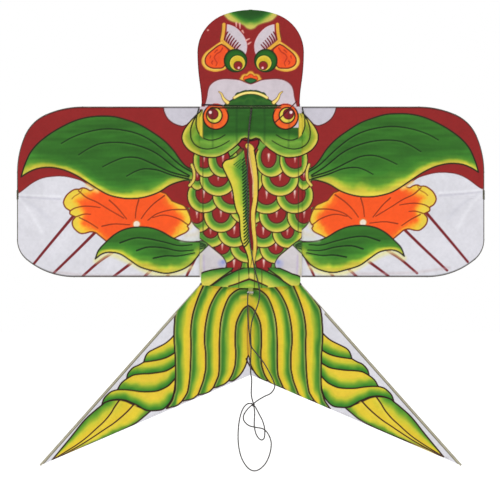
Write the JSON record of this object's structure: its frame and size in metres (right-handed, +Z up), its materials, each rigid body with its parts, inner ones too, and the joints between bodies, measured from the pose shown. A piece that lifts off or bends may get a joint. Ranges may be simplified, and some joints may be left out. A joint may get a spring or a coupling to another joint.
{
  "type": "painted silk dragon kite",
  "caption": "Painted silk kite on a bamboo frame: domed head, fish-scaled body, wings that pull out of brass ferrules, folding swallow tail, thread bridle.",
  "frame": {"origin": "where the middle lines of the top spar and the spine cross, at the spar's depth", "axes": "+X across the wings, +Z up the spine, the painted face looks along -Y"},
  "size_m": [0.7024, 0.0161, 0.6908],
  "materials": {
    "painted_silk": "hand-painted silk, faint sheen",
    "bare_silk": "undyed silk",
    "bamboo": "split bamboo, unvarnished",
    "dark_bamboo": "smoked bamboo",
    "ferrule_brass": "dull brass tube",
    "binding_thread": "waxed thread",
    "white_thread": "cotton thread",
    "bridle_thread": "dark twisted thread",
    "sewn_loop": "folded green silk tape"
  },
  "bodies": {
    "centre_frame": {"head_hoop": "bamboo", "left_post": "bamboo", "right_post": "bamboo", "spine": "bamboo", "top_centre_spar": "bamboo", "bottom_centre_spar": "bamboo", "left_top_ferrule": "ferrule_brass", "right_top_ferrule": "ferrule_brass", "left_bottom_ferrule": "ferrule_brass", "right_bottom_ferrule": "ferrule_brass", "crown_lashing": "binding_thread", "spine_top_lashing": "binding_thread", "spine_bottom_lashing": "binding_thread", "left_top_lashing": "binding_thread", "right_top_lashing": "binding_thread", "left_bottom_lashing": "binding_thread", "right_bottom_lashing": "binding_thread", "head_silk": "painted_silk", "body_silk": "painted_silk", "waist_band": "painted_silk", "left_tail_loop": "sewn_loop", "right_tail_loop": "sewn_loop", "upper_tie": "binding_thread", "lower_tie": "white_thread", "leg_knot": "binding_thread", "tow_knot": "binding_thread", "bridle_upper_leg": "bridle_thread", "bridle_lower_leg": "bridle_thread", "tow_loop": "bridle_thread"},
    "left_wing": {"left_wing_top_spar": "dark_bamboo", "left_wing_bottom_spar": "bamboo", "left_tip_binding": "binding_thread", "left_wing_silk": "painted_silk", "left_wing_hem": "bare_silk"},
    "right_wing": {"right_wing_top_spar": "dark_bamboo", "right_wing_bottom_spar": "bamboo", "right_tip_binding": "binding_thread", "right_wing_silk": "painted_silk", "right_wing_hem": "bare_silk"},
    "tail": {"tail_crosspiece": "bamboo", "left_tail_stick": "bamboo", "right_tail_stick": "bamboo", "left_tail_lashing": "binding_thread", "right_tail_lashing": "binding_thread", "left_tail_silk": "painted_silk", "right_tail_silk": "painted_silk", "left_tail_hem": "bare_silk", "right_tail_hem": "bare_silk"}
  },
  "joints": [
    {"name": "left_wing_pull", "type": "slide", "parent": "centre_frame", "child": "left_wing", "axis": [-1, 0, 0], "range_m": [0, 0.025]},
    {"name": "right_wing_pull", "type": "slide", "parent": "centre_frame", "child": "right_wing", "axis": [1, 0, 0], "range_m": [0, 0.025]},
    {"name": "tail_fold", "type": "hinge", "parent": "centre_frame", "child": "tail", "pos_m": [0, 0.0036, -0.262], "axis": [1, 0, 0], "range_deg": [0, 170]}
  ]
}
